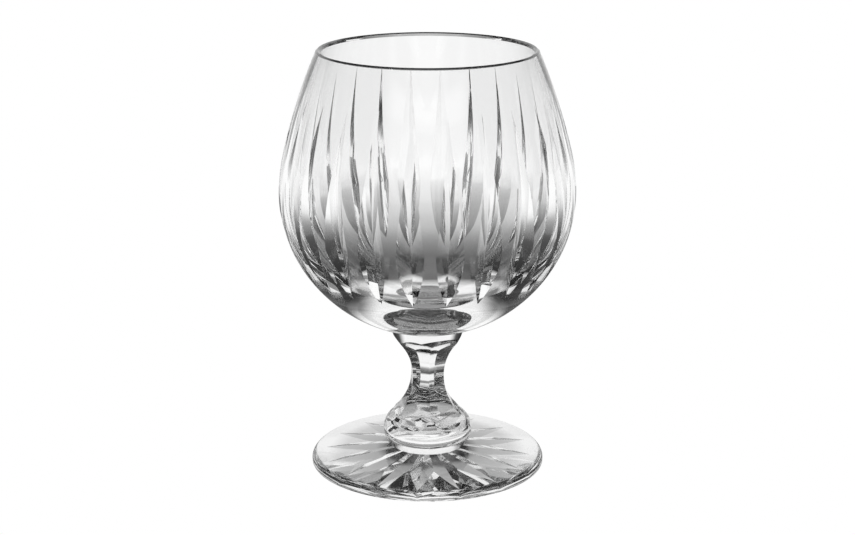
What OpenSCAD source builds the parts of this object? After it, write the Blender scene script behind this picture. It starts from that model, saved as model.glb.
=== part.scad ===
// Cut-glass brandy snifter: a blown bowl with mitre cuts, a faceted stem,
// a rounded collar and a flat foot with a star cut into its underside.
// Millimetres, +Z up, origin at the middle of the foot's underside.

/* [Bowl] */
// Outer diameter of the rim
rim_d = 67; // [58:0.5:74]
// Outer diameter of the bowl where it is widest
belly_d = 90.2; // [86:0.2:96]
// Height of the widest ring above the rounded bottom of the bowl
belly_depth = 43.6; // [40:0.2:52]
// Height of the rim above the widest ring
bowl_rise = 44; // [40:0.5:50]
// Lean of the wall at the rim, as a share of the lean of the straight line to
// the rim from the widest ring
rim_lean_share = 1.58; // [1.4:0.02:1.7]
// How much of that lean the wall has gained where the shoulder's arc ends
shoulder_share = 0.56; // [0.4:0.02:0.7]
// Wall thickness at the rim
rim_wall = 1.6; // [1.2:0.1:2.4]
// Wall thickness where the bowl is widest
belly_wall = 4.2; // [3.6:0.1:5.5]
// Thickness of the glass under the inside of the bowl
floor_t = 7.6; // [5:0.1:12]

/* [Bowl cuts] */
// Number of upright cuts round the bowl
cut_count = 24; // [12:1:28]
// Turn of the cuts about the upright axis, in degrees
cut_turn = 8.5; // [0:0.5:15]
// Angle between the two faces of a cut, in degrees
cut_angle = 120; // [100:1:130]
// Depth of a cut where it is deepest
cut_depth = 2.6; // [1.2:0.1:2.8]
// Height of the deepest place, below the widest ring
cut_deep_drop = 8; // [4:0.5:14]
// Height of the upper tip above the widest ring
cut_top_rise = 31.8; // [26:0.2:34]
// Height of the lower tip below the widest ring
cut_foot_drop = 25.2; // [20:0.2:28]
// How fast the depth falls off towards the upper tip, 1 for an even taper
cut_taper = 1.15; // [1:0.05:2]

/* [Stem] */
// Height of the stem between the collar and the bowl
stem_h = 31.3; // [28:0.1:40]
// Diameter of the stem's seat under the bowl
stem_top_d = 23.2; // [20:0.2:28]
// Diameter of the rough stem at its waist, before the facets are ground
stem_blank_d = 12.4; // [12:0.1:16]
// Number of facets
facet_count = 6; // [5:1:8]
// Turn of the facets about the upright axis, in degrees
facet_turn = 5.5; // [-30:0.5:30]
// Width across two opposite facets at the waist
waist_d = 9.6; // [8:0.1:10.4]
// Height of the waist above the collar
waist_h = 15.6; // [13:0.1:18]
// Radius of the wheel that grinds a facet
facet_r = 17.5; // [16.5:0.1:20]

/* [Collar] */
// Height of the collar between the foot and the stem
collar_h = 7.2; // [6.6:0.1:7.6]
// Diameter of the collar's rounded edge where it is widest
collar_d = 27.6; // [24:0.2:32]
// Radius of that rounded edge
collar_round = 6.5; // [6.2:0.1:7.5]
// Height of the widest place above the foot
collar_mid_h = 4.9; // [4.2:0.1:5.4]

/* [Foot] */
// Diameter of the foot
foot_d = 72.6; // [64:0.2:84]
// Thickness of the foot in the middle
foot_h = 5.4; // [4.8:0.1:7]
// Height of the foot's rounded outer edge
edge_h = 2.9; // [2.6:0.1:4]
// Radius of the upper rounding of that edge
edge_round = 2; // [1:0.1:2.2]
// Radius of the small rounding under that edge
toe_round = 0.4; // [0.2:0.05:0.5]

/* [Star under the foot] */
// Number of points of the star
star_count = 16; // [8:2:20]
// Turn of the star about the upright axis, in degrees
star_turn = -5.5; // [-11:0.5:11]
// Diameter of the circle on which the star's points end
star_d = 64.2; // [50:0.2:66]
// Depth of a star cut where it is deepest, in the middle
star_depth = 2.6; // [1.2:0.1:2.8]
// Angle between the two faces of a star cut, in degrees
star_angle = 130; // [110:1:140]

/* [Hidden] */
$fn = 144;

glass = [0.84, 0.88, 0.91, 0.5];

// How far a cutter runs past what it cuts
over = 1;

// Straight strokes that stand for the sweeps of a cut
cut_top_steps = 3;
cut_foot_steps = 2;
star_steps = 3;

// The pieces stand on each other, from the table up
collar_z = foot_h;
stem_z = collar_z + collar_h;
seat_z = stem_z + stem_h;

// Radius of the tighter of the two arcs under the widest ring, as a share of
// the shorter of the radius and depth that they join
tight_share = 0.92;

// Height over the collar's widest place at which the stem leaves the rounded
// edge, as a share of that edge's radius
neck_low_share = 0.8;

// The bowl's outline has four arcs that run into each other: base, side,
// shoulder and neck. Heights are measured from the widest ring.
function dot(a, b) = a[0] * b[0] + a[1] * b[1];
function ray(a) = [cos(a), sin(a)];
function heading(from, to) = atan2(to[1] - from[1], to[0] - from[0]);

function tight_r(r, depth) = tight_share * min(r, depth);
function wide_r(r, depth) =
    let (long = max(r, depth), short = min(r, depth), t = tight_r(r, depth))
    (short * short - t * t + (long - t) * (long - t)) / (2 * (short - t));
function side_r(r, depth) = depth > r ? wide_r(r, depth) : tight_r(r, depth);
function base_r(r, depth) = depth > r ? tight_r(r, depth) : wide_r(r, depth);
function side_c(r, depth) = [r - side_r(r, depth), 0];
function base_c(r, depth) = [0, base_r(r, depth) - depth];
function join_a(r, depth) = -atan2(abs(base_c(r, depth)[1]), abs(side_c(r, depth)[0]));

// The rim is a rounded lip between the outer and the inner wall
lip_r = rim_wall / 2;
lip_c = [rim_d / 2 - lip_r, bowl_rise - lip_r];

// A wall from a widest ring with radius r to the side of the lip that is given
// as 1, the outer one, or -1, the inner one
function rim_lean(r, side) = rim_lean_share * atan2(r - lip_c[0] - side * lip_r, lip_c[1]);
function turn_a(r, side) = shoulder_share * rim_lean(r, side);
function wall_end(r, side) = lip_c + side * lip_r * ray(rim_lean(r, side));
function neck_r(r, side) =
    let (a = turn_a(r, side), b = rim_lean(r, side), end = wall_end(r, side))
    ((r - end[0]) * sin(a) - end[1] * (1 - cos(a)))
    / ((cos(a) - cos(b)) * sin(a) - (sin(b) - sin(a)) * (1 - cos(a)));
function shoulder_r(r, side) =
    let (a = turn_a(r, side), b = rim_lean(r, side))
    (wall_end(r, side)[1] - neck_r(r, side) * (sin(b) - sin(a))) / sin(a);
function shoulder_c(r, side) = [r - shoulder_r(r, side), 0];
function neck_c(r, side) =
    wall_end(r, side) - neck_r(r, side) * ray(rim_lean(r, side));

belly_r = belly_d / 2;
lip_out = wall_end(belly_r, 1);
lip_in = wall_end(belly_r - belly_wall, -1);
bowl_base_r = base_r(belly_r, belly_depth);
seat_r = stem_top_d / 2;
seat_sag = bowl_base_r - sqrt(bowl_base_r * bowl_base_r - seat_r * seat_r);
belly_z = seat_z - seat_sag + belly_depth;

// Radius of the bowl's outside at a height measured from the widest ring
function on_arc(c, r, h) = c[0] + sqrt(r * r - (h - c[1]) * (h - c[1]));
function outer_r(h) =
    h > shoulder_r(belly_r, 1) * sin(turn_a(belly_r, 1))
        ? on_arc(neck_c(belly_r, 1), neck_r(belly_r, 1), h)
    : h > 0 ? on_arc(shoulder_c(belly_r, 1), shoulder_r(belly_r, 1), h)
    : h > side_r(belly_r, belly_depth) * sin(join_a(belly_r, belly_depth))
        ? on_arc(side_c(belly_r, belly_depth), side_r(belly_r, belly_depth), h)
    : on_arc(base_c(belly_r, belly_depth), bowl_base_r, h);

// A point of a cut's bottom line, at a height measured from the widest ring. The
// depth falls off towards both tips, as a wheel's sweep leaves it.
function cut_line(h) =
    let (up = (h + cut_deep_drop) / (cut_top_rise + cut_deep_drop),
         down = (h + cut_deep_drop) / (cut_foot_drop - cut_deep_drop))
    [outer_r(h) - cut_depth * (up > 0 ? pow(max(1 - up, 0), cut_taper) : 1 - down * down), h];

// The collar's rounded edge runs on over the lower end of the stem
collar_c = [collar_d / 2 - collar_round, collar_z + collar_mid_h];
neck_low_z = collar_c[1] + neck_low_share * collar_round;
neck_low = [on_arc(collar_c, collar_round, neck_low_z), neck_low_z];
waist_z = stem_z + waist_h;

// The foot's top is a straight slope between its edge and the collar
edge_c = [foot_d / 2 - edge_round, edge_h - edge_round];
collar_foot_r = on_arc(collar_c, collar_round, collar_z);
foot_slope =
    -heading([collar_foot_r, foot_h], edge_c)
    - asin(edge_round / norm(edge_c - [collar_foot_r, foot_h]));
edge_top = edge_c + edge_round * ray(90 - foot_slope);

// A slice of a disc between two headings less than 120 degrees apart
module slice(c, r, from, to) {
    intersection() {
        translate(c) circle(r);
        polygon([c, c + 2 * r * ray(from), c + 2 * r * ray(to)]);
    }
}

// The outline of a bulb, filled as far as the axis and closed by the points in cap
module bulb(r, depth, side, cap) {
    join = join_a(r, depth);
    turn = turn_a(r, side);
    end = wall_end(r, side);
    intersection() {
        union() {
            polygon(concat(
                [[0, -depth],
                 side_c(r, depth) + side_r(r, depth) * ray(join),
                 [r, 0],
                 shoulder_c(r, side) + shoulder_r(r, side) * ray(turn),
                 end],
                cap));
            slice(base_c(r, depth), base_r(r, depth), -90, join);
            slice(side_c(r, depth), side_r(r, depth), join, 0);
            slice(shoulder_c(r, side), shoulder_r(r, side), 0, turn);
            slice(neck_c(r, side), neck_r(r, side), turn, rim_lean(r, side));
        }
        translate([0, -depth - over])
            square([r + over, depth + bowl_rise + 2 * over]);
    }
}

module bowl_wall() {
    difference() {
        bulb(belly_r, belly_depth, 1,
             [[0, lip_out[1] - lip_out[0] * tan(rim_lean(belly_r, 1))]]);
        bulb(belly_r - belly_wall, belly_depth - floor_t, -1,
             [[lip_in[0], bowl_rise], [0, bowl_rise]]);
        translate([0, -belly_depth - over])
            square([seat_r + over, seat_sag + over]);
    }
    translate(lip_c) circle(lip_r);
}

// A long V-shaped tool. Its bottom line lies in the upright plane of the X axis
// and runs from one point to another, and the tool opens to the right of that way
module mitre(low, high, angle, deep, run) {
    d = high - low;
    translate([low[0], 0, low[1]])
        rotate([0, atan2(d[0], d[1]), 0])
            translate([0, 0, -run])
                linear_extrude(norm(d) + 2 * run)
                    polygon([[0, 0],
                             [deep, deep * tan(angle / 2)],
                             [deep, -deep * tan(angle / 2)]]);
}

module bowl_cut() {
    low = (cut_foot_drop - cut_deep_drop) / cut_foot_steps;
    high = (cut_top_rise + cut_deep_drop) / cut_top_steps;
    path = [for (i = [-cut_foot_steps : cut_top_steps])
        cut_line(-cut_deep_drop + i * (i < 0 ? low : high))];
    for (i = [1 : len(path) - 1])
        mitre(path[i - 1], path[i], cut_angle, cut_depth + over, over);
}

module bowl() {
    color(glass)
        translate([0, 0, belly_z])
            difference() {
                rotate_extrude() bowl_wall();
                for (i = [0 : cut_count - 1])
                    rotate([0, 0, cut_turn + i * 360 / cut_count - 90])
                        bowl_cut();
            }
}

module stem_blank() {
    polygon([[0, stem_z], [collar_c[0], stem_z], neck_low,
             [stem_blank_d / 2, waist_z],
             [seat_r, seat_z], [0, seat_z]]);
    intersection() {
        translate(collar_c) circle(collar_round);
        translate([0, stem_z]) square([collar_d, collar_round]);
    }
}

module stem() {
    color(glass)
        difference() {
            rotate_extrude() stem_blank();
            for (i = [0 : facet_count - 1])
                rotate([0, 0, facet_turn + (i + 0.5) * 360 / facet_count - 90])
                    translate([waist_d / 2 + facet_r, 0, waist_z])
                        rotate([90, 0, 0])
                            cylinder(r = facet_r, h = collar_d + stem_top_d, center = true);
        }
}

module collar() {
    color(glass)
        rotate_extrude() {
            polygon([[0, collar_z], [collar_c[0], collar_z], [collar_c[0], stem_z], [0, stem_z]]);
            intersection() {
                translate(collar_c) circle(collar_round);
                translate([collar_c[0], collar_z]) square([collar_d, collar_h]);
            }
        }
}

module foot_blank() {
    polygon([[0, 0], [foot_d / 2 - toe_round, 0], [foot_d / 2 - toe_round, toe_round],
             [foot_d / 2, toe_round], [foot_d / 2, edge_c[1]], edge_c,
             edge_top, [collar_foot_r, foot_h], [0, foot_h]]);
    slice(edge_c, edge_round, 0, 90 - foot_slope);
    translate([foot_d / 2 - toe_round, toe_round]) circle(toe_round);
}

// One cut of the star: a wheel's sweep that is deepest in the middle
module star_cut() {
    point = [star_d / 2, 0];
    middle = [0, star_depth];
    sweep = dot(point - middle, point - middle) / (2 * star_depth);
    centre = middle - [0, sweep];
    turn = 90 - heading(centre, point);
    path = [for (i = [0 : star_steps]) centre + sweep * ray(90 - turn * i / star_steps)];
    intersection() {
        intersection_for (i = [1 : star_steps])
            mitre(path[i - 1], path[i], star_angle, 2 * foot_h, foot_d);
        translate([0, -foot_d / 2, -over]) cube([foot_d, foot_d, foot_h + over]);
    }
}

module foot() {
    color(glass)
        difference() {
            rotate_extrude() foot_blank();
            for (i = [0 : star_count - 1])
                rotate([0, 0, star_turn + i * 360 / star_count - 90])
                    star_cut();
        }
}

foot();
collar();
stem();
bowl();
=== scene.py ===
"""A cut-glass brandy snifter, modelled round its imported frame."""

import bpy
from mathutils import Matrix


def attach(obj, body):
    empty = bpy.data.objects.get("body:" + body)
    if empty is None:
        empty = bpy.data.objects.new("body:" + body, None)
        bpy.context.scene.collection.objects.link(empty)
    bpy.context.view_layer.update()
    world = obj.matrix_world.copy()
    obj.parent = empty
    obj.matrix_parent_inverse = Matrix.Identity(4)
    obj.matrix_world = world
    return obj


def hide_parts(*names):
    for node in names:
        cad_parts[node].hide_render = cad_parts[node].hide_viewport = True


bl_info = {
    "name": "Cut-glass brandy snifter",
    "version": (1, 0, 0),
    "blender": (4, 5, 0),
    "location": "View3D > Sidebar > Snifter",
    "description": "Models a cut-glass brandy snifter and its studio stage",
    "category": "Object",
}

from collections import namedtuple
from math import acos, asin, atan2, ceil, cos, pi, radians, sin, sqrt, tan

import bpy
from bpy.props import FloatProperty, FloatVectorProperty, IntProperty, PointerProperty
from mathutils import Vector

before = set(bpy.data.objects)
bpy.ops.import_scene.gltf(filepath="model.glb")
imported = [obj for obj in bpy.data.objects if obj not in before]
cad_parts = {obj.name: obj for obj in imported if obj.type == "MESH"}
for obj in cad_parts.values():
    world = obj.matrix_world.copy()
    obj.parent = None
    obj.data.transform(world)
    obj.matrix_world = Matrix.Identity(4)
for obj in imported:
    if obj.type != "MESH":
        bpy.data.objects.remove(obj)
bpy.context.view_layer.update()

MM = 0.001
FULL_TURN = 2 * pi
UP = (0, 0, 1)
ACROSS = (0, 1, 0)

WELD = 0.002 * MM  # corners that lie closer become one
TOUCH = 0.01 * MM  # a face this close to a height lies on it
LEVEL = 0.999  # a face with this much of its normal upright is level
SMOOTH_TURN = radians(18)  # edges that turn more stay sharp

# How finely the rounds are drawn
SIDES = 288
BOWL_STEP = 1.1 * MM
CUT_STEP = 0.9 * MM
STEM_STEP = 0.4 * MM
FOOT_STEP = 0.15 * MM
FACET_STEPS = 120
STAR_STEPS = 16


def length(name, description, millimetres):
    """A length that the user can change."""
    return FloatProperty(name=name, description=description, default=millimetres * MM,
                         min=0, unit="LENGTH", precision=5)


def turn(name, description, value):
    """An angle that the user can change."""
    return FloatProperty(name=name, description=description, default=radians(value),
                         subtype="ANGLE", unit="ROTATION")


def share(name, description, value):
    """A plain number that the user can change."""
    return FloatProperty(name=name, description=description, default=value, min=0)


class SnifterBowlSizes(bpy.types.PropertyGroup):
    """Sizes of the blown bowl."""
    rim_d: length("Rim", "Outer diameter of the rim", 67)
    belly_d: length("Belly", "Outer diameter where the bowl is widest", 90.2)
    belly_depth: length("Depth", "Height of the widest ring above the bowl's round bottom", 43.6)
    rise: length("Rise", "Height of the rim above the widest ring", 44)
    lean_share: share("Lean", "Lean of the wall at the rim, as a share of the lean of the line "
                      "from belly to rim", 1.58)
    shoulder_share: share("Shoulder", "How much of that lean the wall has gained where the "
                          "shoulder's arc ends", 0.56)
    rim_wall: length("Rim wall", "Wall thickness at the rim", 1.6)
    belly_wall: length("Belly wall", "Wall thickness where the bowl is widest", 4.2)
    floor_t: length("Floor", "Thickness of the glass under the inside", 7.6)
    sides: IntProperty(name="Sides", description="Flats round the bowl's mesh", default=384, min=96)


class SnifterCutSizes(bpy.types.PropertyGroup):
    """Sizes of the mitre cuts round the bowl."""
    count: IntProperty(name="Cuts", description="Number of cuts round the bowl", default=24, min=3)
    turn: turn("Turn", "Turn of the cuts about the upright axis", 8.5)
    angle: turn("Angle", "Angle between the two faces of a cut", 120)
    depth: length("Depth", "Depth of a cut where it is deepest", 2.6)
    deep_drop: length("Deepest", "Height of the deepest place below the widest ring", 8)
    top_rise: length("Top", "Height of the upper tip above the widest ring", 31.8)
    foot_drop: length("Foot", "Height of the lower tip below the widest ring", 25.2)
    taper: share("Taper", "How fast the depth falls off towards the upper tip", 1.15)


class SnifterStemSizes(bpy.types.PropertyGroup):
    """Sizes of the faceted stem."""
    height: length("Height", "Height of the stem between collar and bowl", 31.3)
    top_d: length("Top", "Diameter of the seat under the bowl", 23.2)
    blank_d: length("Blank", "Diameter of the rough stem at its waist", 12.4)
    facets: IntProperty(name="Facets", description="Number of ground facets", default=6, min=3)
    turn: turn("Turn", "Turn of the facets about the upright axis", 5.5)
    waist_d: length("Waist", "Width across two opposite facets at the waist", 9.6)
    waist_h: length("Waist height", "Height of the waist above the collar", 15.6)
    facet_r: length("Wheel", "Radius of the wheel that grinds a facet", 17.5)


class SnifterCollarSizes(bpy.types.PropertyGroup):
    """Sizes of the rounded collar."""
    height: length("Height", "Height of the collar between foot and stem", 7.2)
    outer_d: length("Diameter", "Diameter where the rounded edge is widest", 27.6)
    edge_r: length("Edge", "Radius of the rounded edge", 6.5)
    mid_h: length("Middle", "Height of the widest place above the foot", 4.9)


class SnifterFootSizes(bpy.types.PropertyGroup):
    """Sizes of the foot and of the star cut into its underside."""
    outer_d: length("Diameter", "Diameter of the foot", 72.6)
    height: length("Height", "Thickness of the foot in the middle", 5.4)
    edge_h: length("Edge", "Height of the rounded outer edge", 2.9)
    edge_r: length("Edge radius", "Radius of the upper rounding of the edge", 2)
    toe_r: length("Toe", "Radius of the small rounding under the edge", 0.4)
    star_points: IntProperty(name="Points", description="Number of points of the star", default=16, min=3)
    star_turn: turn("Star turn", "Turn of the star about the upright axis", -5.5)
    star_d: length("Star", "Diameter of the circle on which the points end", 64.2)
    star_depth: length("Star depth", "Depth of a star cut where it is deepest, in the middle", 2.6)
    star_angle: turn("Star angle", "Angle between the two faces of a star cut", 130)


class SnifterGlassLook(bpy.types.PropertyGroup):
    """Look of the crystal."""
    tint: FloatVectorProperty(name="Tint", description="Colour of the crystal", subtype="COLOR",
                              size=3, min=0, max=1, default=(0.992, 0.993, 0.993))
    # The star's grey is painted shade: its satin faces are rough for real, and the grey tint stands for the
    # shade they lie in.
    star_shade: FloatVectorProperty(name="Star shade", subtype="COLOR",
                                   description="Colour of the satin faces of the star",
                                   size=3, min=0, max=1, default=(0.62, 0.625, 0.625))
    # The lip's colour is painted shade: a dark tint for the dark line that the rounded lip shows by bending
    # light.
    lip_shade: FloatVectorProperty(name="Lip shade", subtype="COLOR",
                                  description="Colour of the lip painted dark, which little light comes out of",
                                  size=3, min=0, max=1, default=(0.05, 0.05, 0.052))
    ior: FloatProperty(name="IOR", description="Index of refraction", default=1.54, min=1, max=2)


class SnifterStageLook(bpy.types.PropertyGroup):
    """Camera, floor and lights."""
    camera_far: length("Distance", "Distance of the camera from the glass's axis", 565.8)
    camera_high: length("Height", "Height of the camera above the floor", 222.9)
    camera_tilt: turn("Tilt", "How far the camera looks down", 15.84)
    lens: FloatProperty(name="Lens", description="Focal length in millimetres", default=80.55, min=1)
    # The lit patch is a painted pool of light on the floor, seen only in the glass.
    pool_wide: length("Pool width", "Half the width of the lit patch round the foot", 52)
    pool_long: length("Pool length", "Half the length of the lit patch, from front to back", 101)
    pool_ahead: length("Pool ahead", "How far the middle of the lit patch lies in front of the glass", 9)


class SnifterSettings(bpy.types.PropertyGroup):
    """Everything that can be changed."""
    bowl: PointerProperty(type=SnifterBowlSizes)
    cuts: PointerProperty(type=SnifterCutSizes)
    stem: PointerProperty(type=SnifterStemSizes)
    collar: PointerProperty(type=SnifterCollarSizes)
    foot: PointerProperty(type=SnifterFootSizes)
    glass: PointerProperty(type=SnifterGlassLook)
    stage: PointerProperty(type=SnifterStageLook)


# Lines of the glass, as points (distance from the axis, height)

def ray(angle):
    """The unit vector that points along an angle."""
    return Vector((cos(angle), sin(angle)))


def heading(start, end):
    """The angle of the way from one point to another."""
    return atan2(end.y - start.y, end.x - start.x)


def backwards(strokes):
    """The same arcs, drawn from the other end."""
    return [(centre, radius, end, start) for centre, radius, start, end in reversed(strokes)]


def raised(strokes, height):
    """The same arcs, moved up."""
    up = Vector((0, height))
    return [(centre + up, radius, start, end) for centre, radius, start, end in strokes]


class Bulb:
    """One wall of the bowl, of four arcs that run into each other, from its lowest point to the lip."""

    TIGHT_SHARE = 0.92  # the tighter lower arc's radius as a share of the shorter of radius and depth

    def __init__(self, radius, depth, bowl, side):
        """The outer wall has side 1 and the inner one -1."""
        short, long = sorted((radius, depth))
        tight = self.TIGHT_SHARE * short
        wide = (short ** 2 - tight ** 2 + (long - tight) ** 2) / (2 * (short - tight))
        side_r, base_r = (wide, tight) if depth > radius else (tight, wide)
        self.side = Vector((radius - side_r, 0)), side_r
        self.base = Vector((0, base_r - depth)), base_r
        self.join = -atan2(abs(base_r - depth), abs(radius - side_r))
        self.lip_r = bowl.rim_wall / 2
        self.lip = Vector((bowl.rim_d / 2 - self.lip_r, bowl.rise - self.lip_r))
        self.lean = bowl.lean_share * atan2(radius - self.lip.x - side * self.lip_r, self.lip.y)
        self.bend = bowl.shoulder_share * self.lean
        end = self.lip + side * self.lip_r * ray(self.lean)
        bent, left = ray(self.bend), ray(self.lean) - ray(self.bend)
        neck_r = (((radius - end.x) * bent.y - end.y * (1 - bent.x))
                  / (-left.x * bent.y - left.y * (1 - bent.x)))
        shoulder_r = (end.y - neck_r * left.y) / bent.y
        self.shoulder = Vector((radius - shoulder_r, 0)), shoulder_r
        self.neck = end - neck_r * ray(self.lean), neck_r

    def strokes(self, lowest=-pi / 2):
        """The four arcs from the angle lowest on the base arc up to the lip."""
        return [(*self.base, lowest, self.join), (*self.side, self.join, 0),
                (*self.shoulder, 0, self.bend), (*self.neck, self.bend, self.lean)]

    def radius_at(self, height):
        """The wall's distance from the axis at a height."""
        if height > self.shoulder[1] * sin(self.bend):
            centre, radius = self.neck
        elif height > 0:
            centre, radius = self.shoulder
        elif height > self.side[1] * sin(self.join):
            centre, radius = self.side
        else:
            centre, radius = self.base
        return centre.x + sqrt(radius ** 2 - (height - centre.y) ** 2)


class Stack:
    """Where the pieces stand on each other, from the floor up."""

    def __init__(self, sizes):
        bowl, stem, collar, foot = sizes.bowl, sizes.stem, sizes.collar, sizes.foot
        self.collar_z = foot.height
        self.stem_z = self.collar_z + collar.height
        self.seat_z = self.stem_z + stem.height
        self.seat_r = stem.top_d / 2
        self.outside = Bulb(bowl.belly_d / 2, bowl.belly_depth, bowl, 1)
        self.inside = Bulb(bowl.belly_d / 2 - bowl.belly_wall, bowl.belly_depth - bowl.floor_t, bowl, -1)
        self.lip, self.lip_r = self.outside.lip, self.outside.lip_r
        base_r = self.outside.base[1]
        self.seat_angle = -acos(self.seat_r / base_r)
        sag = base_r - sqrt(base_r ** 2 - self.seat_r ** 2)
        self.belly_z = self.seat_z - sag + bowl.belly_depth
        self.bead = Vector((collar.outer_d / 2 - collar.edge_r, self.collar_z + collar.mid_h))


# Modelling by hand

def deselect():
    """Leave edit mode and select nothing."""
    if bpy.context.object and bpy.context.object.mode != "OBJECT":
        bpy.ops.object.mode_set(mode="OBJECT")
    bpy.ops.object.select_all(action="DESELECT")


def pick(piece):
    """Make one object the only selected and active one."""
    deselect()
    piece.select_set(True)
    bpy.context.view_layer.objects.active = piece


def draw(name, start, strokes, step):
    """Draw a line in the upright plane of the X axis, and stay in edit mode.

    A stroke is a point to draw a straight line to, or an arc as its centre, radius and two angles.
    """
    deselect()
    bpy.ops.mesh.primitive_plane_add(size=MM)
    piece = bpy.context.object
    piece.name = piece.data.name = name
    bpy.ops.object.mode_set(mode="EDIT")
    bpy.ops.mesh.merge(type="CENTER")
    bpy.ops.transform.translate(value=(start.x, 0, start.y))
    pen = start
    for stroke in strokes:
        if isinstance(stroke, Vector):
            move = stroke - pen
            bpy.ops.mesh.extrude_region_move(TRANSFORM_OT_translate={"value": (move.x, 0, move.y)})
            pen = stroke
        else:
            centre, radius, first, last = stroke
            bpy.ops.mesh.spin(steps=max(2, ceil(abs(last - first) * radius / step)), angle=last - first,
                              center=(centre.x, 0, centre.y), axis=ACROSS)
            pen = centre + radius * ray(last)
    return piece


def spin_round(name, start, strokes, sides, step):
    """Turn a line about the upright axis to a closed piece."""
    piece = draw(name, start, strokes, step)
    bpy.ops.mesh.select_all(action="SELECT")
    bpy.ops.mesh.spin(steps=sides, angle=FULL_TURN, center=(0, 0, 0), axis=UP)
    bpy.ops.mesh.select_all(action="SELECT")
    bpy.ops.mesh.remove_doubles(threshold=WELD)
    bpy.ops.mesh.normals_make_consistent(inside=False)
    bpy.ops.object.mode_set(mode="OBJECT")
    return piece


def copy_round(count, first_turn):
    """Turn what is drawn in edit mode by first_turn and copy it round the upright axis."""
    bpy.ops.mesh.select_all(action="SELECT")
    bpy.ops.transform.rotate(value=-first_turn, orient_axis="Z", center_override=(0, 0, 0))
    bpy.ops.mesh.spin(steps=count, angle=FULL_TURN, center=(0, 0, 0), axis=UP, dupli=True)
    bpy.ops.mesh.select_all(action="SELECT")
    bpy.ops.mesh.remove_doubles(threshold=WELD)
    bpy.ops.mesh.normals_make_consistent(inside=False)
    bpy.ops.object.mode_set(mode="OBJECT")


def steps(first, last, step):
    """Evenly spaced numbers, both ends included."""
    count = max(1, ceil(abs(last - first) / step))
    return [first + (last - first) * i / count for i in range(count + 1)]


def loft(name, rings):
    """Skin a row of rings to a closed bar, and stay in edit mode."""
    deselect()
    bpy.ops.mesh.primitive_circle_add(vertices=len(rings[0]), radius=MM, fill_type="NGON")
    tool = bpy.context.object
    tool.name = tool.data.name = name
    last = [v.co.copy() for v in tool.data.vertices]
    for i, ring in enumerate(rings):
        bpy.ops.object.mode_set(mode="EDIT")
        if i:
            bpy.ops.mesh.extrude_region_move()
        bpy.ops.object.mode_set(mode="OBJECT")
        for vertex in [v for v in tool.data.vertices if v.select]:
            corner = min(range(len(ring)), key=lambda k: (last[k] - vertex.co).length_squared)
            vertex.co = ring[corner]
        last = ring
    bpy.ops.object.mode_set(mode="EDIT")
    return tool


def carve(piece, tool, operation="DIFFERENCE"):
    """Take a tool's shape out of a piece, or all but that shape, and throw the tool away."""
    pick(piece)
    bpy.ops.object.modifier_add(type="BOOLEAN")
    cut = piece.modifiers[-1]
    cut.operation, cut.solver, cut.object = operation, "EXACT", tool
    bpy.ops.object.modifier_apply(modifier=cut.name)
    pick(tool)
    bpy.ops.object.delete()


def finish_faces(piece, material, fits):
    """Give a material to the faces for which fits is true."""
    piece.data.materials.append(material)
    for face in piece.data.polygons:
        if fits(face):
            face.material_index = len(piece.data.materials) - 1


def finish_glass(piece, node, crystal, seams):
    """Shade a piece, give it its crystal and its seams, by name and height, and let it stand for its node."""
    pick(piece)
    bpy.ops.object.shade_smooth_by_angle(angle=SMOOTH_TURN)
    piece.data.materials.clear()
    piece.data.materials.append(crystal)
    for seam, height in seams.items():
        finish_faces(piece, seam_glass(seam), lambda face: (
            abs(face.center.z - height) < TOUCH and abs(face.normal.z) > LEVEL))
    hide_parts(node)
    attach(piece, "root")


# Finishes

# The waves of worked glass: their length and height, and how much longer they are upright
Waves = namedtuple("Waves", "length height stretch")
BLOWN = Waves(24 * MM, 0.03 * MM, 1.6)
GROUND = Waves(7 * MM, 0.008 * MM, 3)
TURNED = Waves(9 * MM, 0.01 * MM, 1)
FLAT = Waves(15 * MM, 0.01 * MM, 1)
POLISHED = Waves(6 * MM, 0.01 * MM, 1)
SATIN = Waves(3 * MM, 0.01 * MM, 1)
WAVE_DETAIL = 1.5  # how many finer waves the waves carry

# The satin faces: how rough they are at most, and the size and fineness of their grain
SATIN_ROUGH = 0.06
GRAIN = MM
GRAIN_DETAIL = 3

# How much of the light crosses each seam; below 1 the seam is painted shade, a darkening where fused pieces
# join
SEAM_PASS_AND_SHADE = {"foot seam": 1, "stem seam": 0.9, "seat seam": 0.55}


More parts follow.
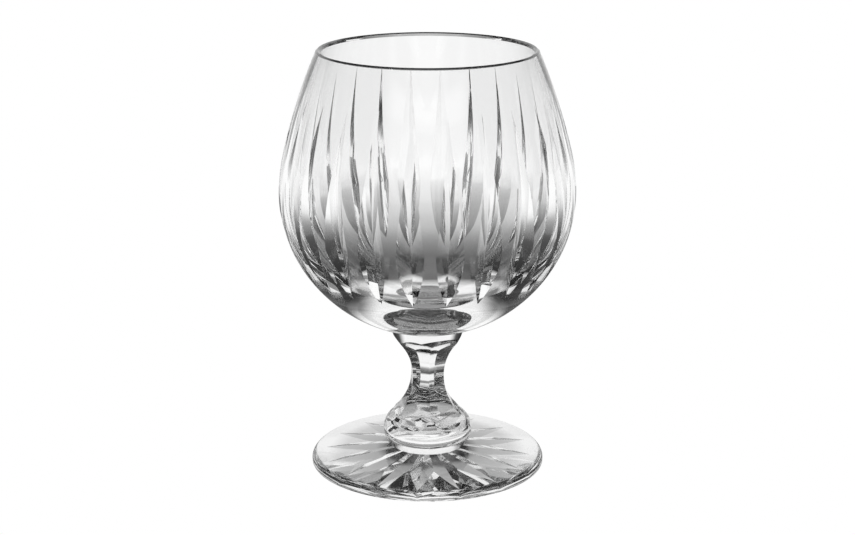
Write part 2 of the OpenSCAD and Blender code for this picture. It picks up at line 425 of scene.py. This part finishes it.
class Tree:
    """A node tree that is emptied and built up node by node."""

    def __init__(self, tree):
        self.nodes, self.links = tree.nodes, tree.links
        self.nodes.clear()

    def add(self, kind, inputs=None, **settings):
        """A new node. An input that is a socket of another node is linked, any other is set."""
        node = self.nodes.new("ShaderNode" + kind)
        for name, value in settings.items():
            setattr(node, name, value)
        for key, value in (inputs or {}).items():
            if isinstance(value, bpy.types.NodeSocket):
                self.links.new(value, node.inputs[key])
            else:
                node.inputs[key].default_value = value
        return node

    def sum(self, operation, first, second):
        """The result of a sum with two values."""
        return self.add("Math", {0: first, 1: second}, operation=operation).outputs[0]

    def between(self, value, low, high, interpolation="LINEAR"):
        """A value as a share of the way from low to high."""
        return self.add("MapRange", {"Value": value, "From Min": low, "From Max": high},
                        interpolation_type=interpolation).outputs["Result"]

    def greys(self, value, places):
        """Greys that run into each other along a value, from pairs of a value and its grey."""
        first, last = places[0][0], places[-1][0]
        ramp = self.add("ValToRGB", {"Fac": self.between(value, first, last)})
        stops = ramp.color_ramp.elements
        for stop, (place, grey) in ((stops[0], places[0]), (stops[1], places[-1])):
            stop.color = (grey, grey, grey, 1)
        for place, grey in places[1:-1]:
            stops.new((place - first) / (last - first)).color = (grey, grey, grey, 1)
        return ramp.outputs["Color"]

    def mix(self, factor, first, second, blend="MIX"):
        """Two colours mixed."""
        return self.add("Mix", {0: factor, 6: first, 7: second},
                        data_type="RGBA", blend_type=blend).outputs[2]

    def aside(self, parts, low, high):
        """How far a direction leads to the left or right, from 0 ahead or behind to 1."""
        wide = self.sum("POWER", parts.outputs["X"], 2)
        long = self.sum("POWER", parts.outputs["Y"], 2)
        return self.between(self.sum("DIVIDE", wide, self.sum("ADD", wide, long)), low, high, "SMOOTHSTEP")

    def show(self, kind, colour, output, clear=None):
        """Shine in a colour where the glass shows it, plain white where the camera sees it, or be clear."""
        shown, seen = self.add(kind, {"Color": colour}), self.add(kind, {"Color": (1, 1, 1, 1)})
        camera = self.add("LightPath").outputs["Is Camera Ray"]
        mixed = self.add("MixShader", {0: camera, 1: shown.outputs[0], 2: seen.outputs[0]})
        if clear:
            gone = self.add("BsdfTransparent")
            mixed = self.add("MixShader", {0: clear, 1: mixed.outputs[0], 2: gone.outputs[0]})
        self.add(output, {"Surface": mixed.outputs[0]})


def new_tree(name):
    """A material with an empty tree, or the one that has the name already and no tree to build."""
    material = bpy.data.materials.get(name)
    if material:
        return material, None
    material = bpy.data.materials.new(name)
    material.use_nodes = True
    return material, Tree(material.node_tree)


def crystal(name, waves, rough=0.0, tint=None):
    """Crystal with the slight waves of worked glass, and a fine grain where it is rough."""
    look = bpy.context.scene.snifter.glass
    material, tree = new_tree(name)
    if tree is None:
        return material
    place = tree.add("TexCoord").outputs["Object"]
    spread = tree.add("Mapping", {"Vector": place, "Scale": (1, 1, 1 / waves.stretch)}).outputs["Vector"]
    noise = tree.add("TexNoise", {"Vector": spread, "Scale": 1 / waves.length, "Detail": WAVE_DETAIL})
    bump = tree.add("Bump", {"Height": noise.outputs["Fac"], "Distance": waves.height, "Strength": 1})
    glass = tree.add("BsdfPrincipled", {
        # A tint passed in is painted shade, on the lip and the star; the crystal's own tint is the pale one.
        "Base Color": (*(tint or look.tint), 1), "IOR": look.ior, "Transmission Weight": 1,
        "Roughness": 0, "Normal": bump.outputs["Normal"]})
    if rough:
        grain = tree.add("TexNoise", {"Vector": place, "Scale": 1 / GRAIN, "Detail": GRAIN_DETAIL})
        uneven = tree.add("MapRange", {"Value": grain.outputs["Fac"], "To Min": rough / 2, "To Max": rough})
        tree.links.new(uneven.outputs["Result"], glass.inputs["Roughness"])
    tree.add("OutputMaterial", {"Surface": glass.outputs["BSDF"]})
    return material


def seam_glass(name):
    """The face where two fused pieces touch, which light crosses unbent, dimmed as painted shade where its
    share is below 1.
    """
    material, tree = new_tree(name)
    if tree:
        clear = tree.add("BsdfTransparent", {"Color": (*[SEAM_PASS_AND_SHADE[name]] * 3, 1)})
        tree.add("OutputMaterial", {"Surface": clear.outputs["BSDF"]})
    return material


# Operators

class SNIFTER_OT_bowl(bpy.types.Operator):
    """Blow the bowl and cut its upright mitres"""
    bl_idname = "snifter.bowl"
    bl_label = "Bowl"

    PAST = 0.7 * MM  # how far the cuts' tool stands out of the wall and runs on past their tips
    LIP_SHARE = 0.25  # where over the middle of the lip its painted shade begins, as a share of its radius

    def execute(self, context):
        sizes = context.scene.snifter
        stack = Stack(sizes)
        strokes = [Vector((stack.seat_r, stack.seat_z))]
        strokes += raised(stack.outside.strokes(stack.seat_angle)
                          + [(stack.lip, stack.lip_r, stack.outside.lean, stack.inside.lean + pi)]
                          + backwards(stack.inside.strokes()), stack.belly_z)
        piece = spin_round("bowl", Vector((0, stack.seat_z)), strokes, sizes.bowl.sides, BOWL_STEP)
        carve(piece, self.cutters(sizes.cuts, stack))
        finish_glass(piece, "bowl", crystal("blown crystal", BLOWN), {"seat seam": stack.seat_z})
        # Painted shade: the faces over the middle of the lip get the dark lip colour.
        lip_z = stack.belly_z + stack.lip.y + stack.lip_r * self.LIP_SHARE
        finish_faces(piece, crystal("lip painted dark", POLISHED, tint=sizes.glass.lip_shade),
                     lambda face: face.center.z > lip_z)
        return {"FINISHED"}

    def cutters(self, cuts, stack):
        """The V-shaped tool of a cut, swept along its bottom line and copied round the bowl."""
        deepest = cuts.depth + self.PAST
        side = deepest * tan(cuts.angle / 2)
        heights = (steps(-cuts.foot_drop, -cuts.deep_drop, CUT_STEP)[:-1]
                   + steps(-cuts.deep_drop, cuts.top_rise, CUT_STEP))
        path = [self.bottom(cuts, stack.outside, height) for height in heights]
        path.insert(0, path[0] + (path[0] - path[1]).normalized() * self.PAST)
        path.append(path[-1] + (path[-1] - path[-2]).normalized() * self.PAST)
        rings = []
        for i, point in enumerate(path):
            way = (path[min(i + 1, len(path) - 1)] - path[max(i - 1, 0)]).normalized()
            edge = point + Vector((way.y, -way.x)) * deepest
            rings.append([Vector((point.x, 0, point.y + stack.belly_z)),
                          Vector((edge.x, side, edge.y + stack.belly_z)),
                          Vector((edge.x, -side, edge.y + stack.belly_z))])
        tool = loft("cut tool", rings)
        copy_round(cuts.count, cuts.turn - pi / 2)
        return tool

    def bottom(self, cuts, outside, height):
        """A point of a cut's bottom line, whose depth falls off towards both tips."""
        up = (height + cuts.deep_drop) / (cuts.top_rise + cuts.deep_drop)
        down = (height + cuts.deep_drop) / (cuts.foot_drop - cuts.deep_drop)
        depth = cuts.depth * (max(1 - up, 0) ** cuts.taper if up > 0 else 1 - down ** 2)
        return Vector((outside.radius_at(height) - depth, height))


class SNIFTER_OT_stem(bpy.types.Operator):
    """Turn the stem and grind its hollow facets"""
    bl_idname = "snifter.stem"
    bl_label = "Stem"

    BLANK_TURN = asin(0.8)  # where on the bead's arc the rough stem leaves it
    WHEEL_SHARE = 0.995  # how much of its radius the wheel grinds with, up and down

    def execute(self, context):
        sizes = context.scene.snifter
        stack, stem = Stack(sizes), sizes.stem
        waist_z = stack.stem_z + stem.waist_h
        edge_r = sizes.collar.edge_r
        start = asin((stack.stem_z - stack.bead.y) / edge_r)
        strokes = [stack.bead + edge_r * ray(start), (stack.bead, edge_r, start, self.BLANK_TURN),
                   Vector((stem.blank_d / 2, waist_z)), Vector((stack.seat_r, stack.seat_z)),
                   Vector((0, stack.seat_z))]
        piece = spin_round("stem", Vector((0, stack.stem_z)), strokes, SIDES, STEM_STEP)
        carve(piece, self.facets(stem, waist_z, stack), "INTERSECT")
        finish_glass(piece, "stem", crystal("ground crystal", GROUND),
                     {"stem seam": stack.stem_z, "seat seam": stack.seat_z})
        return {"FINISHED"}

    def facets(self, stem, waist_z, stack):
        """A bar with as many sides as the stem has facets, hollow along its length as the wheel is round."""
        rings = []
        half = min(stem.facet_r * self.WHEEL_SHARE, stack.seat_z - waist_z + MM)
        for i in range(FACET_STEPS + 1):
            rise = half * (2 * i / FACET_STEPS - 1)
            flat = stem.waist_d / 2 + stem.facet_r - sqrt(stem.facet_r ** 2 - rise ** 2)
            reach = flat / cos(pi / stem.facets)
            rings.append([Vector((reach * sin(a), -reach * cos(a), waist_z + rise)) for a in
                          (stem.turn + FULL_TURN * k / stem.facets for k in range(stem.facets))])
        tool = loft("facet tool", rings)
        bpy.ops.mesh.select_all(action="SELECT")
        bpy.ops.mesh.normals_make_consistent(inside=False)
        bpy.ops.object.mode_set(mode="OBJECT")
        return tool


class SNIFTER_OT_collar(bpy.types.Operator):
    """Turn the rounded collar"""
    bl_idname = "snifter.collar"
    bl_label = "Collar"

    def execute(self, context):
        sizes = context.scene.snifter
        stack, edge_r = Stack(sizes), sizes.collar.edge_r
        low = asin((stack.collar_z - stack.bead.y) / edge_r)
        high = asin((stack.stem_z - stack.bead.y) / edge_r)
        strokes = [stack.bead + edge_r * ray(low), (stack.bead, edge_r, low, high),
                   Vector((0, stack.stem_z))]
        piece = spin_round("collar", Vector((0, stack.collar_z)), strokes, SIDES, STEM_STEP)
        finish_glass(piece, "collar", crystal("worked crystal", TURNED),
                     {"foot seam": stack.collar_z, "stem seam": stack.stem_z})
        return {"FINISHED"}


class SNIFTER_OT_foot(bpy.types.Operator):
    """Turn the foot and cut the star into its underside"""
    bl_idname = "snifter.foot"
    bl_label = "Foot"

    OVERRUN = 1.1  # how far the star's tool runs on past the points, as a share of their circle
    TIP = 0.001  # the same for the flat left on the tool's tip

    def execute(self, context):
        sizes = context.scene.snifter
        stack, foot = Stack(sizes), sizes.foot
        radius = foot.outer_d / 2
        edge = Vector((radius - foot.edge_r, foot.edge_h - foot.edge_r))
        edge_r = sizes.collar.edge_r
        top = Vector((stack.bead.x + sqrt(edge_r ** 2 - (foot.height - stack.bead.y) ** 2), foot.height))
        slope = -heading(top, edge) - asin(foot.edge_r / (edge - top).length)
        toe = Vector((radius - foot.toe_r, foot.toe_r))
        strokes = [Vector((radius - foot.toe_r, 0)), (toe, foot.toe_r, -pi / 2, 0),
                   Vector((radius, edge.y)), (edge, foot.edge_r, 0, pi / 2 - slope),
                   top, Vector((0, foot.height))]
        piece = spin_round("foot", Vector((0, 0)), strokes, SIDES, FOOT_STEP)
        carve(piece, self.star(foot))
        finish_glass(piece, "foot", crystal("foot crystal", FLAT), {"foot seam": stack.collar_z})
        # Painted shade: the star's satin faces get a grey tint as well as their real roughness.
        finish_faces(piece, crystal("satin star with painted shade", SATIN, SATIN_ROUGH, sizes.glass.star_shade), lambda face: (
            face.center.xy.length < foot.star_d / 2 and face.center.z > TOUCH and face.normal.z < 0))
        return {"FINISHED"}

    def star(self, foot):
        """The hollow that all cuts leave together: a pyramid with a starry outline, and a wheel's sweep."""
        half_turn = pi / foot.star_points
        flank = tan(half_turn) / tan(foot.star_angle / 2)
        reach = foot.star_d / 2
        sweep = (reach ** 2 + foot.star_depth ** 2) / (2 * foot.star_depth)
        rings = []
        for inward in (self.OVERRUN, *(1 - i / STAR_STEPS for i in range(STAR_STEPS)), self.TIP):
            x = reach * inward
            bottom = foot.star_depth - sweep + sqrt(sweep ** 2 - x ** 2)
            corners = [(x, bottom), (x / cos(half_turn), bottom - x * flank)]
            rings.append([Vector((corners[k % 2][0] * sin(foot.star_turn + k * half_turn),
                                  -corners[k % 2][0] * cos(foot.star_turn + k * half_turn),
                                  corners[k % 2][1])) for k in range(2 * foot.star_points)])
        rings.insert(0, [Vector((p.x, p.y, -foot.height)) for p in rings[0]])
        tool = loft("star tool", rings)
        bpy.ops.mesh.select_all(action="SELECT")
        bpy.ops.mesh.normals_make_consistent(inside=False)
        bpy.ops.object.mode_set(mode="OBJECT")
        return tool


class SNIFTER_OT_stage(bpy.types.Operator):
    """Set up the floor, the light and the camera"""
    bl_idname = "snifter.stage"
    bl_label = "Stage"

    BOUNCES = 48  # turns that light may take in the cut glass
    FLOOR_R = 4  # in metres, so wide that the floor's edge stays out of the picture
    FLOOR_SIDES = 96
    FLOOR_DROP = 0.02 * MM  # how far the floor lies under the foot, so that their faces stay apart

    # Greys of the surroundings, as pairs of a place and its grey.
    # On the table the place is millimetres to the front or back, or from the glass's axis, and the greys are
    # painted light and shade: dark near the glass, lighter farther off.
    TABLE = ((0, 0.03), (90, 0.05), (115, 0.08), (150, 0.17), (200, 0.36), (250, 0.6), (300, 0.82), (360, 1))
    FAR = ((0, 0), (190, 0.1), (330, 0.4), (480, 0.85), (600, 1))
    # Painted shadow under the foot and in a ring just outside it, with a lighter ring inside its edge.
    UNDER = ((0, 0.02), (13, 0.04), (16, 0.4), (26, 0.55), (31, 0.85), (36, 0.85), (38, 0.3), (47, 0.3),
             (52, 1))
    UNDER_EDGE = 49, 52
    # In the painted pool of light it is the share of the way to the patch's edge.
    POOL = ((0, 1), (0.92, 1), (1.12, 0))
    # In the studio it is the sine of the angle above the horizon, ahead or behind and to the sides.
    AHEAD = ((-0.1, 0.8), (0.1, 1), (0.5, 1), (0.55, 0.1), (0.62, 0.02), (1, 0.02))
    ASIDE = ((-0.1, 0.4), (0.05, 0.26), (0.15, 0.13), (0.3, 0.04), (0.6, 0.02), (1, 0.02))
    ASIDE_TURN = 0.22, 0.52  # where ahead ends and aside begins, as the squared sine of the turn

    def execute(self, context):
        look = context.scene.snifter.stage
        deselect()
        bpy.ops.object.camera_add(location=(0, -look.camera_far, look.camera_high),
                                  rotation=(pi / 2 - look.camera_tilt, 0, 0))
        camera = context.object
        camera.data.lens = look.lens
        context.scene.camera = camera
        context.scene.view_settings.view_transform = "Standard"
        cycles = context.scene.cycles
        cycles.max_bounces = cycles.transmission_bounces = cycles.glossy_bounces = self.BOUNCES
        cycles.transparent_max_bounces = self.BOUNCES
        self.floor(look)
        self.world()
        return {"FINISHED"}

    def floor(self, look):
        """A plain white table, clear from below. In the glass it shows painted light and shade: dark nearby,
        a painted pool of light round the foot and painted shadow under it.
        """
        bpy.ops.mesh.primitive_circle_add(vertices=self.FLOOR_SIDES, radius=self.FLOOR_R, fill_type="NGON",
                                          location=(0, 0, -self.FLOOR_DROP))
        floor = bpy.context.object
        floor.name = "floor"
        material, tree = new_tree("pale floor with painted light and shade")
        place = tree.add("TexCoord").outputs["Object"]
        parts = tree.add("SeparateXYZ", {0: place})
        ahead = tree.sum("DIVIDE", tree.sum("ABSOLUTE", parts.outputs["Y"], 0), MM)
        far = tree.sum("DIVIDE", self.reach(tree, place), MM)
        table = tree.mix(1, tree.greys(ahead, self.TABLE), tree.greys(far, self.FAR), "LIGHTEN")
        spread = tree.add("Mapping", {"Vector": place, "Location": (0, look.pool_ahead / look.pool_long, 0),
                                      "Scale": (1 / look.pool_wide, 1 / look.pool_long, 1)})
        pool = tree.greys(self.reach(tree, spread.outputs["Vector"]), self.POOL)
        # Painted shadow under the foot, laid over the table's painted shade and the painted pool of light.
        under = tree.greys(far, self.UNDER)
        colour = tree.mix(tree.between(far, *self.UNDER_EDGE), under, tree.mix(1, table, pool, "LIGHTEN"))
        tree.show("Emission", colour, "OutputMaterial", tree.add("NewGeometry").outputs["Backfacing"])
        floor.data.materials.append(material)

    def reach(self, tree, place):
        """The distance of a place from the middle."""
        return tree.add("VectorMath", {0: place}, operation="LENGTH").outputs["Value"]

    def world(self):
        """A white studio. In the glass it is bright ahead and behind, and dark aside and above."""
        world = bpy.data.worlds.new("studio")
        bpy.context.scene.world = world
        world.use_nodes = True
        tree = Tree(world.node_tree)
        parts = tree.add("SeparateXYZ", {0: tree.add("TexCoord").outputs["Generated"]})
        ahead, aside = (tree.greys(parts.outputs["Z"], places) for places in (self.AHEAD, self.ASIDE))
        tree.show("Background", tree.mix(tree.aside(parts, *self.ASIDE_TURN), ahead, aside), "OutputWorld")


class SNIFTER_PT_panel(bpy.types.Panel):
    """Buttons that make the snifter piece by piece"""
    bl_label = "Brandy snifter"
    bl_space_type = "VIEW_3D"
    bl_region_type = "UI"
    bl_category = "Snifter"

    def draw(self, context):
        for operator in OPERATORS:
            self.layout.operator(operator.bl_idname)


OPERATORS = [SNIFTER_OT_stage, SNIFTER_OT_foot, SNIFTER_OT_collar, SNIFTER_OT_stem, SNIFTER_OT_bowl]
CLASSES = [SnifterBowlSizes, SnifterCutSizes, SnifterStemSizes, SnifterCollarSizes, SnifterFootSizes,
           SnifterGlassLook, SnifterStageLook, SnifterSettings, *OPERATORS, SNIFTER_PT_panel]


def register():
    for cls in CLASSES:
        bpy.utils.register_class(cls)
    bpy.types.Scene.snifter = PointerProperty(type=SnifterSettings)


def unregister():
    del bpy.types.Scene.snifter
    for cls in reversed(CLASSES):
        bpy.utils.unregister_class(cls)


def main():
    register()
    bpy.ops.snifter.stage()
    bpy.ops.snifter.foot()
    bpy.ops.snifter.collar()
    bpy.ops.snifter.stem()
    bpy.ops.snifter.bowl()


if __name__ == "__main__":
    main()
